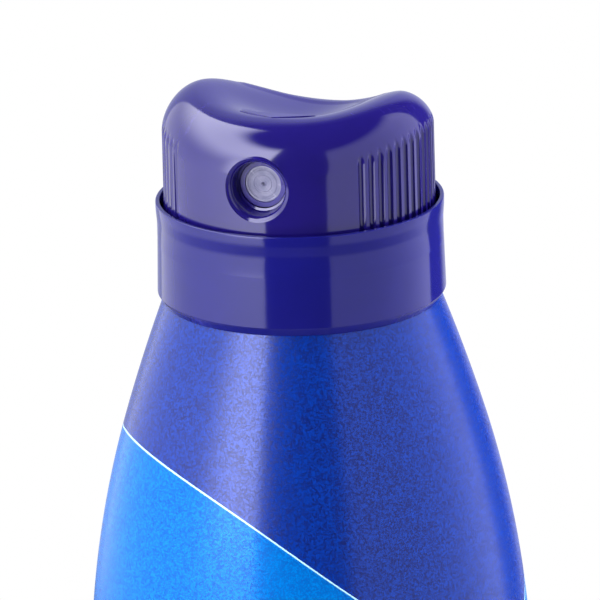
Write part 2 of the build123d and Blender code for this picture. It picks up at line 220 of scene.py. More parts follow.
class ShaderGroups:
    """The surface effects that several materials share."""

    def __init__(self) -> None:
        """Build every group once."""
        self.mottle = self._mottle()
        self.peel = self._peel()
        self.wear = self._wear()
        self.sparkle = self._sparkle()
        self.rings = self._rings()
        self.sweep = self._sweep()

    def _group(self, name: str, inputs: dict[str, tuple[str, object]],
               outputs: dict[str, str]) -> tuple[bpy.types.NodeTree, Wiring, bpy.types.Node, bpy.types.Node]:
        """Start a node group.

        Args:
            name: The group's name.
            inputs: Each input's socket type and default.
            outputs: Each output's socket type.

        Returns:
            The tree, its wiring, and its input and output nodes.
        """
        tree = bpy.data.node_groups.new(name, "ShaderNodeTree")
        for label, (kind, default) in inputs.items():
            socket = tree.interface.new_socket(label, in_out="INPUT", socket_type=f"NodeSocket{kind}")
            socket.default_value = default
        for label, kind in outputs.items():
            tree.interface.new_socket(label, in_out="OUTPUT", socket_type=f"NodeSocket{kind}")
        wiring = Wiring(tree)
        return tree, wiring, wiring.node("NodeGroupInput"), wiring.node("NodeGroupOutput")

    def _mottle(self) -> bpy.types.NodeTree:
        """Slow unevenness of colour between two shades."""
        tree, w, into, out = self._group(
            "Colour Mottle",
            {"Main": ("Color", (0.5, 0.5, 0.5, 1)), "Other": ("Color", (0.4, 0.4, 0.4, 1)),
             "Scale": ("Float", 120.0), "Amount": ("Float", 0.5)},
            {"Colour": "Color", "Value": "Float"})
        where = w.node("ShaderNodeTexCoord").outputs["Object"]
        cloud = w.noise(where, into.outputs["Scale"], 3.0, 0.6)
        share = w.math(Blend.MULTIPLY, w.ramp(cloud, 0.3, 0.7), into.outputs["Amount"], clamp=True)
        w.feed(out.inputs["Colour"], w.mix(share, into.outputs["Main"], into.outputs["Other"]))
        w.feed(out.inputs["Value"], share)
        return tree

    def _peel(self) -> bpy.types.NodeTree:
        """Fine orange-peel waviness with a little grain on it."""
        tree, w, into, out = self._group(
            "Orange Peel",
            {"Wave Scale": ("Float", 900.0), "Grain Scale": ("Float", 9000.0),
             "Grain": ("Float", 0.2)},
            {"Height": "Float"})
        where = w.node("ShaderNodeTexCoord").outputs["Object"]
        wave = w.noise(where, into.outputs["Wave Scale"], 1.0)
        grain = w.math(Blend.MULTIPLY, w.noise(where, into.outputs["Grain Scale"], 1.0),
                       into.outputs["Grain"])
        w.feed(out.inputs["Height"], w.math(Blend.ADD, wave, grain))
        return tree

    def _wear(self) -> bpy.types.NodeTree:
        """Where edges are rubbed, broken up by noise."""
        tree, w, into, out = self._group(
            "Edge Wear",
            {"Start": ("Float", 0.53), "End": ("Float", 0.62), "Break Scale": ("Float", 1500.0)},
            {"Mask": "Float"})
        where = w.node("ShaderNodeTexCoord").outputs["Object"]
        edge = w.ramp(w.node("ShaderNodeNewGeometry").outputs["Pointiness"],
                      into.outputs["Start"], into.outputs["End"])
        broken = w.ramp(w.noise(where, into.outputs["Break Scale"], 3.0, 0.7), 0.35, 0.65)
        w.feed(out.inputs["Mask"], w.math(Blend.MULTIPLY, edge, broken, clamp=True))
        return tree

    def _sparkle(self) -> bpy.types.NodeTree:
        """The grain of metal flakes under a lacquer."""
        tree, w, into, out = self._group(
            "Metal Sparkle",
            {"Scale": ("Float", 5500.0), "Contrast": ("Float", 1.0)},
            {"Value": "Float", "Glint": "Float"})
        where = w.node("ShaderNodeTexCoord").outputs["Object"]
        flakes = w.node("ShaderNodeTexVoronoi")
        w.fill(flakes, Vector=where, Scale=into.outputs["Scale"])
        tone = w.node("ShaderNodeSeparateColor")
        w.feed(tone.inputs[0], flakes.outputs["Color"])
        soft = w.noise(where, w.math(Blend.MULTIPLY, into.outputs["Scale"], 1.0), 1.0, 0.6)
        both = w.math(Blend.ADD, w.math(Blend.MULTIPLY, tone.outputs[0], 0.5),
                      w.math(Blend.MULTIPLY, soft, 0.5))
        spread = w.math(Blend.MULTIPLY, w.math(Blend.SUBTRACT, both, 0.5), into.outputs["Contrast"])
        w.feed(out.inputs["Value"], w.math(Blend.ADD, spread, 0.5, clamp=True))
        w.feed(out.inputs["Glint"], w.ramp(tone.outputs[1], 0.9, 1.0))
        return tree

    def _rings(self) -> bpy.types.NodeTree:
        """Concentric turning marks round an axis along Y."""
        tree, w, into, out = self._group(
            "Turning Rings",
            {"Centre Height": ("Float", 0.18), "Pitch": ("Float", 0.0003)},
            {"Height": "Float", "Radius": "Float"})
        split = w.node("ShaderNodeSeparateXYZ")
        w.feed(split.inputs[0], w.node("ShaderNodeTexCoord").outputs["Object"])
        across = w.math(Blend.POWER, split.outputs["X"], 2.0)
        rise = w.math(Blend.SUBTRACT, split.outputs["Z"], into.outputs["Centre Height"])
        radius = w.math(Blend.SQRT, w.math(Blend.ADD, across, w.math(Blend.POWER, rise, 2.0)))
        turn = w.math(Blend.MULTIPLY, w.math(Blend.DIVIDE, radius, into.outputs["Pitch"]), 2 * math.pi)
        w.feed(out.inputs["Height"], w.math(Blend.SINE, turn))
        w.feed(out.inputs["Radius"], radius)
        return tree

    def _sweep(self) -> bpy.types.NodeTree:
        """A sweeping line round an upright axis: a height that rises and falls with the angle."""
        waves = {f"{part} {order}": ("Float", 0.0) for order in (1, 2, 3) for part in ("Rise", "Turn")}
        tree, w, into, out = self._group(
            "Sweep Line", {"Level": ("Float", 0.14), "Line Width": ("Float", 0.0002), **waves},
            {"Above": "Float", "Line": "Float"})
        split = w.node("ShaderNodeSeparateXYZ")
        w.feed(split.inputs[0], w.node("ShaderNodeTexCoord").outputs["Object"])
        angle = w.math(Blend.ATAN2, split.outputs["X"], w.math(Blend.MULTIPLY, split.outputs["Y"], -1.0))
        level = into.outputs["Level"]
        for order in (1, 2, 3):
            turned = w.math(Blend.ADD, w.math(Blend.MULTIPLY, angle, float(order)),
                            into.outputs[f"Turn {order}"])
            wave = w.math(Blend.MULTIPLY, w.math(Blend.COSINE, turned), into.outputs[f"Rise {order}"])
            level = w.math(Blend.ADD, level, wave)
        over = w.math(Blend.SUBTRACT, split.outputs["Z"], level)
        soft = 0.00002
        w.feed(out.inputs["Above"], w.ramp(over, -soft, soft))
        apart = w.math(Blend.SUBTRACT, w.math(Blend.ABSOLUTE, over),
                       w.math(Blend.MULTIPLY, into.outputs["Line Width"], 0.5))
        w.feed(out.inputs["Line"], w.ramp(apart, -soft, soft, 1.0, 0.0))
        return tree


# ---------------------------------------------------------------- finishes


@dataclass(frozen=True)
class Finish:
    """A material for one kind of surface."""

    name: str
    main: tuple[float, float, float, float]
    other: tuple[float, float, float, float]
    roughness: float = 0.3
    mottle_scale: float = 150.0

    def begin(self) -> tuple[bpy.types.Material, Wiring, bpy.types.Node]:
        """Make an empty material with a Principled shader.

        Returns:
            The material, its wiring and the shader.
        """
        material = bpy.data.materials.new(self.name)
        material.use_nodes = True
        shader = material.node_tree.nodes["Principled BSDF"]
        return material, Wiring(material.node_tree), shader

    def group(self, w: Wiring, tree: bpy.types.NodeTree, **values: object) -> bpy.types.Node:
        """Place a shared effect.

        Args:
            w: The material's wiring.
            tree: The effect.
            values: Its inputs by name, an underscore for a space.

        Returns:
            The group node.
        """
        return w.fill(w.node("ShaderNodeGroup", node_tree=tree), **values)

    def rub(self, w: Wiring, shader: bpy.types.Node, colour: object, mask: object,
            pale: tuple[float, float, float, float], share: float) -> None:
        """Feed the base colour, paler where the mask says that edges are rubbed.

        Args:
            w: The material's wiring.
            shader: The Principled shader.
            colour: The colour before wear.
            mask: Where it is rubbed.
            pale: The rubbed colour.
            share: How far it goes towards it.
        """
        amount = w.math(Blend.MULTIPLY, mask, share, clamp=True)
        w.feed(shader.inputs["Base Color"], w.mix(amount, colour, pale))

    def bump(self, w: Wiring, shader: bpy.types.Node, height: object, distance: float,
             strength: float = 1.0) -> None:
        """Feed the shader's normal from a height.

        Args:
            w: The material's wiring.
            shader: The Principled shader.
            height: The height, about 0 to 1.
            distance: What a height of 1 stands for, in metres.
            strength: How strongly it shows.
        """
        made = w.fill(w.node("ShaderNodeBump"), Height=height, Distance=distance, Strength=strength)
        w.feed(shader.inputs["Normal"], made.outputs["Normal"])

    def rough(self, w: Wiring, shader: bpy.types.Node, value: object, spread: float) -> None:
        """Feed the shader's roughness round its middle value.

        Args:
            w: The material's wiring.
            shader: The Principled shader.
            value: A pattern from 0 to 1.
            spread: How far the roughness goes either way.
        """
        w.feed(shader.inputs["Roughness"],
               w.ramp(value, 0.0, 1.0, self.roughness - spread, self.roughness + spread))


@dataclass(frozen=True)
class MouldedPlastic(Finish):
    """Glossy or satin injection-moulded plastic."""

    pale: tuple[float, float, float, float] = (0.3, 0.3, 0.6, 1.0)
    wave: float = 0.000006
    wave_scale: float = 420.0
    grain: float = 0.08
    wear: float = 0.35
    coat: float = 0.0
    tint: tuple[float, float, float, float] = (1.0, 1.0, 1.0, 1.0)
    level: float = 0.5

    def make(self, groups: ShaderGroups) -> bpy.types.Material:
        """Build the material.

        Args:
            groups: The shared effects.

        Returns:
            The material.
        """
        material, w, shader = self.begin()
        cloud = self.group(w, groups.mottle, Main=self.main, Other=self.other,
                           Scale=self.mottle_scale, Amount=0.8)
        rubbed = self.group(w, groups.wear, Start=0.54, End=0.66, Break_Scale=1800.0)
        self.rub(w, shader, cloud.outputs["Colour"], rubbed.outputs["Mask"], self.pale, self.wear)
        self.rough(w, shader, cloud.outputs["Value"], self.roughness * 0.12)
        skin = self.group(w, groups.peel, Wave_Scale=self.wave_scale, Grain_Scale=9000.0,
                          Grain=self.grain)
        self.bump(w, shader, skin.outputs["Height"], self.wave)
        w.fill(shader, Coat_Weight=self.coat, Coat_Roughness=0.08, Specular_Tint=self.tint,
               IOR=1.5, Specular_IOR_Level=self.level)
        return material


@dataclass(frozen=True)
class PrintedMetal(Finish):
    """Satin lacquer over a two-colour metallic print, with a fine pale line between the colours."""

    lower: tuple[float, float, float, float] = (0.0, 0.3, 0.8, 1.0)
    lower_other: tuple[float, float, float, float] = (0.0, 0.25, 0.7, 1.0)
    line: tuple[float, float, float, float] = (0.4, 0.75, 1.0, 1.0)
    metal: tuple[float, float, float, float] = (0.7, 0.71, 0.73, 1.0)
    metallic: float = 0.12
    line_level: float = -37.31
    rises: tuple[float, float, float] = (9.47, 5.12, 1.54)
    turns: tuple[float, float, float] = (85.7, 49.3, -78.3)
    line_width: float = 0.22
    print_foot: float = 3.2
    flake_scale: float = 5800.0
    flake_contrast: float = 3.0
    lower_level: float = 0.14

    def make(self, groups: ShaderGroups) -> bpy.types.Material:
        """Build the material.

        Args:
            groups: The shared effects.

        Returns:
            The material.
        """
        material, w, shader = self.begin()
        waves = {f"Rise_{n + 1}": rise * MM for n, rise in enumerate(self.rises)}
        waves |= {f"Turn_{n + 1}": math.radians(turn) for n, turn in enumerate(self.turns)}
        sweep = self.group(w, groups.sweep, Level=(RIM_Z + self.line_level) * MM,
                           Line_Width=self.line_width * MM, **waves)
        flakes = self.group(w, groups.sparkle, Scale=self.flake_scale, Contrast=self.flake_contrast)
        grain = flakes.outputs["Value"]
        upper = w.mix(grain, self.main, self.other)
        lower = w.mix(grain, self.lower, self.lower_other)
        ink = w.mix(sweep.outputs["Above"], lower, upper)
        ink = w.mix(sweep.outputs["Line"], ink, self.line)
        split = w.node("ShaderNodeSeparateXYZ")
        w.feed(split.inputs[0], w.node("ShaderNodeTexCoord").outputs["Object"])
        printed = w.ramp(split.outputs["Z"], (self.print_foot - 0.05) * MM, (self.print_foot + 0.05) * MM)
        colour = w.mix(printed, self.metal, ink)
        rubbed = self.group(w, groups.wear, Start=0.6, End=0.75, Break_Scale=900.0)
        self.rub(w, shader, colour, rubbed.outputs["Mask"], self.metal, 0.3)
        self.rough(w, shader, grain, 0.05)
        w.feed(shader.inputs["Metallic"], w.ramp(printed, 0.0, 1.0, 1.0, self.metallic))
        self.bump(w, shader, w.math(Blend.ADD, grain, flakes.outputs["Glint"]), 0.000003, 0.5)
        gloss = w.ramp(sweep.outputs["Above"], 0.0, 1.0, self.lower_level, 0.5)
        w.fill(shader, IOR=1.45, Specular_IOR_Level=gloss, Coat_Weight=0.1, Coat_Roughness=0.15)
        return material


@dataclass(frozen=True)
class BareMetal(Finish):
    """Drawn or turned metal with its fine grain."""

    grain_scale: float = 3000.0

    def make(self, groups: ShaderGroups) -> bpy.types.Material:
        """Build the material.

        Args:
            groups: The shared effects.

        Returns:
            The material.
        """
        material, w, shader = self.begin()
        cloud = self.group(w, groups.mottle, Main=self.main, Other=self.other,
                           Scale=self.mottle_scale, Amount=1.0)
        rubbed = self.group(w, groups.wear, Start=0.55, End=0.7, Break_Scale=1200.0)
        self.rub(w, shader, cloud.outputs["Colour"], rubbed.outputs["Mask"], (0.9, 0.9, 0.92, 1.0), 0.4)
        flakes = self.group(w, groups.sparkle, Scale=self.grain_scale, Contrast=1.2)
        self.rough(w, shader, flakes.outputs["Value"], 0.08)
        self.bump(w, shader, flakes.outputs["Value"], 0.000004, 0.6)
        shader.inputs["Metallic"].default_value = 1.0
        return material


@dataclass(frozen=True)
class TurnedPlastic(Finish):
    """Pale satin plastic with concentric tool marks, for the nozzle."""

    rim: tuple[float, float, float, float] = (0.6, 0.6, 0.75, 1.0)
    centre_height: float = 186.0

    def make(self, groups: ShaderGroups) -> bpy.types.Material:
        """Build the material.

        Args:
            groups: The shared effects.

        Returns:
            The material.
        """
        material, w, shader = self.begin()
        cloud = self.group(w, groups.mottle, Main=self.main, Other=self.other,
                           Scale=self.mottle_scale, Amount=1.0)
        rings = self.group(w, groups.rings, Centre_Height=self.centre_height * MM, Pitch=0.00028)
        outer = w.ramp(rings.outputs["Radius"], 0.0019, 0.0022)
        colour = w.mix(w.math(Blend.MULTIPLY, outer, 0.5), cloud.outputs["Colour"], self.rim)
        rubbed = self.group(w, groups.wear, Start=0.54, End=0.66, Break_Scale=4000.0)
        self.rub(w, shader, colour, rubbed.outputs["Mask"], self.rim, 0.5)
        self.rough(w, shader, cloud.outputs["Value"], 0.06)
        self.bump(w, shader, rings.outputs["Height"], 0.000006)
        w.fill(shader, IOR=1.5)
        return material


class Palette:
    """Every finish of the can, made once."""

    def __init__(self, groups: ShaderGroups, window_z: float) -> None:
        """Make the materials.

        Args:
            groups: The shared effects.
            window_z: Height of the nozzle's axis in millimetres.
        """
        lavender = (0.8, 0.79, 1.0, 1.0)
        self.head = MouldedPlastic(
            "head_plastic", shade(25, 16, 98), shade(22, 14, 93), 0.1, pale=shade(70, 60, 165),
            tint=lavender, level=1.0, wear=0.25).make(groups)
        self.collar = MouldedPlastic(
            "collar_plastic", shade(18, 18, 103), shade(16, 16, 97), 0.11, pale=shade(70, 72, 175),
            tint=lavender, level=0.62, wear=0.3).make(groups)
        # Painted light: the channel is written lighter than the head's plastic to stand in for light that the
        # shaded bore round the insert does not get.
        self.channel = MouldedPlastic(
            "channel_plastic", shade(44, 32, 132), shade(38, 28, 122), 0.3, pale=shade(50, 42, 120),
            wear=0.2).make(groups)
        self.insert = TurnedPlastic(
            "insert_plastic", shade(134, 134, 166), shade(116, 116, 150), 0.38, mottle_scale=900.0,
            rim=shade(205, 205, 232), centre_height=window_z).make(groups)
        self.can = PrintedMetal(
            "can_print", shade(2, 53, 157), shade(0, 25, 104), 0.24,
            lower=shade(0, 118, 208), lower_other=shade(0, 86, 174),
            line=shade(185, 232, 255)).make(groups)
        self.bare = BareMetal("can_bare_metal", shade(205, 207, 212), shade(188, 190, 196), 0.34).make(groups)
        self.cup = BareMetal("cup_metal", shade(214, 216, 220), shade(196, 198, 204), 0.28).make(groups)
        self.spring = BareMetal("spring_steel", shade(190, 192, 196), shade(160, 162, 168), 0.22).make(groups)
        self.rubber = MouldedPlastic(
            "seal_rubber", shade(52, 52, 54), shade(40, 40, 43), 0.7, pale=shade(90, 90, 92),
            wave=0.00001, grain=0.6, level=0.3).make(groups)
        self.valve = MouldedPlastic(
            "valve_plastic", shade(232, 232, 226), shade(220, 221, 214), 0.42, pale=shade(245, 245, 242),
            grain=0.2).make(groups)
        self.stem = MouldedPlastic(
            "stem_plastic", shade(238, 238, 234), shade(228, 228, 222), 0.38, pale=shade(248, 248, 246),
            grain=0.15).make(groups)
        self.tube = MouldedPlastic(
            "tube_plastic", shade(216, 220, 224), shade(202, 208, 214), 0.3, pale=shade(240, 242, 246),
            grain=0.15).make(groups)


# ---------------------------------------------------------------- shaping meshes


@dataclass
class Draft:
    """A mesh being drawn in millimetres."""

    points: list[tuple[float, float, float]] = field(default_factory=list)
    faces: list[tuple[int, ...]] = field(default_factory=list)
    bands: list[int] = field(default_factory=list)

    def add(self, points: list[tuple[float, float, float]], faces: list[tuple[int, ...]],
            band: Band = Band.OUTSIDE) -> None:
        """Add a closed shape.

        Args:
            points: Its corners.
            faces: Its faces, by corner.
            band: The material that its faces take.
        """
        start = len(self.points)
        self.points.extend(points)
        self.faces.extend(tuple(start + corner for corner in face) for face in faces)
        self.bands.extend([band.value] * len(faces))

    def piece(self, name: str, materials: list[bpy.types.Material],
              crease: float = 32.0) -> bpy.types.Object:
        """Turn the draft into an object with outward faces.

        Args:
            name: The piece's name.
            materials: Its materials, in the order of Band.
            crease: Edges sharper than this, in degrees, stay crisp.

        Returns:
            The object.
        """
        mesh = bpy.data.meshes.new(name)
        mesh.from_pydata([tuple(part * MM for part in point) for point in self.points], [], self.faces)
        for material in materials:
            mesh.materials.append(material)
        mesh.polygons.foreach_set("material_index", self.bands)
        return finish_mesh(mesh, name, crease)


def finish_mesh(mesh: bpy.types.Mesh, name: str, crease: float) -> bpy.types.Object:
    """Merge doubles, point the faces outwards, smooth the shading and link the piece.

    Args:
        mesh: The mesh, in metres.
        name: The piece's name.
        crease: Edges sharper than this, in degrees, stay crisp.

    Returns:
        The object.
    """
    work = bmesh.new()
    work.from_mesh(mesh)
    bmesh.ops.remove_doubles(work, verts=work.verts, dist=1e-8)
    bmesh.ops.recalc_face_normals(work, faces=work.faces)
    work.to_mesh(mesh)
    work.free()
    mesh.polygons.foreach_set("use_smooth", [True] * len(mesh.polygons))
    mesh.set_sharp_from_angle(angle=math.radians(crease))
    mesh.name = name
    made = bpy.data.objects.new(name, mesh)
    bpy.context.scene.collection.objects.link(made)
    return made


def rounded(corners: list[tuple[float, float, float]], steps: int = 6) -> list[tuple[float, float]]:
    """An outline with its corners rounded.

    Args:
        corners: Radius, height and rounding of each corner; the first and last stay sharp.
        steps: Points along each rounding.

    Returns:
        The outline's points.
    """
    line = [tuple(corners[0][:2])]
    for before, here, after in zip(corners, corners[1:], corners[2:]):
        corner, radius = Vector(here[:2]), here[2]
        if radius <= 0:
            line.append(tuple(corner))
            continue
        inward = (Vector(before[:2]) - corner).normalized()
        onward = (Vector(after[:2]) - corner).normalized()
        half = inward.angle(onward) / 2
        reach = radius / math.tan(half)
        middle = corner + (inward + onward).normalized() * (radius / math.sin(half))
        start = corner + inward * reach - middle
        end = corner + onward * reach - middle
        swing = start.angle_signed(end)
        for step in range(steps + 1):
            turned = start.copy()
            turned.rotate(Matrix.Rotation(-swing * step / steps, 2))
            line.append(tuple(middle + turned))
    line.append(tuple(corners[-1][:2]))
    return line


def lathe(outline: list[tuple[float, float]], segments: int, closed: bool = False
          ) -> tuple[list[tuple[float, float, float]], list[tuple[int, ...]]]:
    """Turn an outline round the upright axis.

    Args:
        outline: Radius and height of each point; a radius of 0 is a pole.
        segments: Steps round the axis.
        closed: Join the last point to the first.

    Returns:
        Points and faces.
    """
    points, rows = [], []
    turns = [2 * math.pi * step / segments for step in range(segments)]
    for radius, height in outline:
        if radius < 1e-6:
            rows.append([len(points)] * segments)
            points.append((0.0, 0.0, height))
        else:
            rows.append(list(range(len(points), len(points) + segments)))
            points.extend((radius * math.cos(turn), radius * math.sin(turn), height) for turn in turns)
    faces = []
    pairs = list(zip(rows, rows[1:])) + ([(rows[-1], rows[0])] if closed else [])
    for low, high in pairs:
        for step in range(segments):
            after = (step + 1) % segments
            ring = dict.fromkeys((low[step], low[after], high[after], high[step]))
            if len(ring) > 2:
                faces.append(tuple(ring))
    return points, faces


def arc_block(inner: float, outer: float, start: float, end: float, foot: float, top: object,
              steps: int = 12) -> tuple[list[tuple[float, float, float]], list[tuple[int, ...]]]:
    """A block that follows a circle round the upright axis.

    Args:
        inner, outer: Its radii.
        start, end: Its angles in degrees from +X.
        foot: The height of its underside.
        top: The height of its upper side, or a function of x and y that gives it.
        steps: Steps along the arc.

    Returns:
        Points and faces.
    """
    points = []
    for step in range(steps + 1):
        angle = math.radians(start + (end - start) * step / steps)
        for radius in (inner, outer):
            x, y = radius * math.cos(angle), radius * math.sin(angle)
            points.append((x, y, foot))
            points.append((x, y, top(x, y) if callable(top) else top))
    faces = [(0, 1, 3, 2), tuple(4 * steps + corner for corner in (0, 2, 3, 1))]
    for step in range(steps):
        here, after = 4 * step, 4 * step + 4
        for one, two in ((0, 1), (1, 3), (3, 2), (2, 0)):
            faces.append((here + one, here + two, after + two, after + one))
    return points, faces


# ---------------------------------------------------------------- geometry node trees


class PartTrees:
    """The geometry node trees that make repeated features."""

    def __init__(self) -> None:
        """Build both trees once."""
        self.ring = self._ring_of_parts()
        self.grooves = self._grip_grooves()

    def _tree(self, name: str, sizes: dict[str, tuple[str, object]]
              ) -> tuple[bpy.types.NodeTree, Wiring, bpy.types.Node, bpy.types.Node]:
        """Start a geometry tree.

        Args:
            name: The tree's name.
            sizes: Each named input's socket type and default.

        Returns:
            The tree, its wiring, and its input and output nodes.
        """
        tree = bpy.data.node_groups.new(name, "GeometryNodeTree")
        tree.is_modifier = True
        tree.interface.new_socket("Geometry", in_out="INPUT", socket_type="NodeSocketGeometry")
        for label, (kind, default) in sizes.items():
            socket = tree.interface.new_socket(label, in_out="INPUT", socket_type=f"NodeSocket{kind}")
            if default is not None:
                socket.default_value = default
        tree.interface.new_socket("Geometry", in_out="OUTPUT", socket_type="NodeSocketGeometry")
        w = Wiring(tree)
        return tree, w, w.node("NodeGroupInput"), w.node("NodeGroupOutput")

    def _close(self, w: Wiring, geometry: bpy.types.NodeSocket, material: bpy.types.NodeSocket,
               out: bpy.types.Node) -> None:
        """End a tree in real meshes with their material.

        Args:
            w: The tree's wiring.
            geometry: What has been made.
            material: The material input.
            out: The tree's output node.
        """
        real = w.node("GeometryNodeRealizeInstances")
        w.feed(real.inputs["Geometry"], geometry)
        dressed = w.node("GeometryNodeSetMaterial")
        w.feed(dressed.inputs["Geometry"], real.outputs["Geometry"])
        w.feed(dressed.inputs["Material"], material)
        w.feed(out.inputs["Geometry"], dressed.outputs["Geometry"])

    def _ring_of_parts(self) -> bpy.types.NodeTree:
        """A part repeated evenly round the upright axis."""
        tree, w, into, out = self._tree(
            "Ring Of Parts", {"Count": ("Int", 8), "Start": ("Float", 0.0), "Material": ("Material", None)})
        spots = w.node("GeometryNodePoints")
        w.feed(spots.inputs["Count"], into.outputs["Count"])
        step = w.math(Blend.DIVIDE, 2 * math.pi, into.outputs["Count"])
        index = w.node("GeometryNodeInputIndex")
        turn = w.math(Blend.ADD, w.math(Blend.MULTIPLY, index.outputs[0], step), into.outputs["Start"])
        about = w.node("ShaderNodeCombineXYZ")
        w.feed(about.inputs["Z"], turn)
        placed = w.node("GeometryNodeInstanceOnPoints")
        w.feed(placed.inputs["Points"], spots.outputs[0])
        w.feed(placed.inputs["Instance"], into.outputs["Geometry"])
        w.feed(placed.inputs["Rotation"], about.outputs[0])
        self._close(w, placed.outputs["Instances"], into.outputs["Material"], out)
        return tree

    def _grip_grooves(self) -> bpy.types.NodeTree:
        """Upright round-bottomed grooves pressed into both sides of a wall."""
        sizes = {"Start": ("Float", 0.8), "Pitch": ("Float", 0.09), "Count": ("Int", 18),
                 "Groove Radius": ("Float", 0.00045), "Groove Middle": ("Float", 0.0162),
                 "Least Radius": ("Float", 0.015), "Material": ("Material", None)}
        tree, w, into, out = self._tree("Grip Grooves", sizes)
        split = w.node("ShaderNodeSeparateXYZ")
        w.feed(split.inputs[0], w.node("GeometryNodeInputPosition").outputs[0])
        x, y, z = (split.outputs[axis] for axis in "XYZ")
        radius = w.math(Blend.SQRT, w.math(Blend.ADD, w.math(Blend.POWER, x, 2.0),
                                           w.math(Blend.POWER, y, 2.0)))
        angle = w.math(Blend.ABSOLUTE, w.math(Blend.ATAN2, x, w.math(Blend.MULTIPLY, y, -1.0)))
        steps = w.math(Blend.DIVIDE, w.math(Blend.SUBTRACT, angle, into.outputs["Start"]),
                       into.outputs["Pitch"])
        last = w.math(Blend.SUBTRACT, into.outputs["Count"], 1.0)
        nearest = w.math(Blend.MINIMUM, w.math(Blend.MAXIMUM, w.math(Blend.ROUND, steps), 0.0), last)
        apart = w.math(Blend.MULTIPLY, w.math(Blend.SUBTRACT, steps, nearest), into.outputs["Pitch"])
        along = w.math(Blend.MULTIPLY, apart, into.outputs["Groove Middle"])
        inside = w.math(Blend.SUBTRACT, w.math(Blend.POWER, into.outputs["Groove Radius"], 2.0),
                        w.math(Blend.MULTIPLY, along, along))
        bulge = w.math(Blend.SQRT, w.math(Blend.MAXIMUM, inside, 0.0))
        cutter = w.math(Blend.SUBTRACT, into.outputs["Groove Middle"], bulge)
        within = w.math(Blend.LESS, w.math(Blend.MULTIPLY, inside, -1.0), 0.0)
        open_wall = w.math(Blend.LESS, into.outputs["Least Radius"], radius)
        cut = w.math(Blend.MULTIPLY, within, open_wall)
        pushed = w.math(Blend.MINIMUM, radius, cutter)
        change = w.math(Blend.MULTIPLY, w.math(Blend.SUBTRACT, pushed, radius), cut)
        scale = w.math(Blend.DIVIDE, change, w.math(Blend.MAXIMUM, radius, 1e-6))
        offset = w.node("ShaderNodeCombineXYZ")
        w.feed(offset.inputs["X"], w.math(Blend.MULTIPLY, x, scale))
        w.feed(offset.inputs["Y"], w.math(Blend.MULTIPLY, y, scale))
        moved = w.node("GeometryNodeSetPosition")
        w.feed(moved.inputs["Geometry"], into.outputs["Geometry"])
        w.feed(moved.inputs["Offset"], offset.outputs[0])
        self._close(w, moved.outputs["Geometry"], into.outputs["Material"], out)
        return tree


def grow(source: bpy.types.Object, tree: bpy.types.NodeTree, name: str, crease: float,
         **sizes: object) -> bpy.types.Object:
    """Run a geometry tree on a piece and keep the plain mesh.

    Args:
        source: The piece that the tree starts from; it is used up.
        tree: The tree.
        name: The new piece's name.
        crease: Edges sharper than this, in degrees, stay crisp.
        sizes: The tree's inputs by name, an underscore for a space.

    Returns:
        The new piece.
    """
    modifier = source.modifiers.new(tree.name, "NODES")
    modifier.node_group = tree
    for item in tree.interface.items_tree:
        key = item.name.replace(" ", "_")
        if item.item_type == "SOCKET" and item.in_out == "INPUT" and key in sizes:
            modifier[item.identifier] = sizes[key]
    return bake(source, name, crease)


def bake(source: bpy.types.Object, name: str, crease: float) -> bpy.types.Object:
    """Turn a piece with live modifiers into a plain one.

    Args:
        source: The piece; it is used up.
        name: The new piece's name.
        crease: Edges sharper than this, in degrees, stay crisp.

    Returns:
        The new piece.
    """
    bpy.context.view_layer.update()
    evaluated = source.evaluated_get(bpy.context.evaluated_depsgraph_get())
    mesh = bpy.data.meshes.new_from_object(evaluated)
    bpy.data.objects.remove(source)
    return finish_mesh(mesh, name, crease)


def joined(name: str, pieces: list[bpy.types.Object], crease: float) -> bpy.types.Object:
    """Join pieces that are moulded as one.

    Args:
        name: The joined piece's name.
        pieces: The pieces; they are used up.
        crease: Edges sharper than this, in degrees, stay crisp.

    Returns:
        The joined piece.
    """
    whole = bmesh.new()
    materials = list(pieces[0].data.materials)
    for piece in pieces:
        whole.from_mesh(piece.data)
    mesh = bpy.data.meshes.new(name)
    whole.to_mesh(mesh)
    whole.free()
    for material in materials:
        mesh.materials.append(material)
    for piece in pieces:
        bpy.data.objects.remove(piece)
    return finish_mesh(mesh, name, crease)


def settle(piece: bpy.types.Object, body: str, slot: str, *nodes: str) -> None:
    """Put a finished piece on its body in place of its CAD nodes.

    Args:
        piece: The piece.
        body: The body that it rides on.
        slot: Not used.
        nodes: The CAD nodes that it stands for.
    """
    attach(piece, body)
    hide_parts(*nodes)
    LOG.info("%s: %d faces on body %s", piece.name, len(piece.data.polygons), body)


# ---------------------------------------------------------------- the can


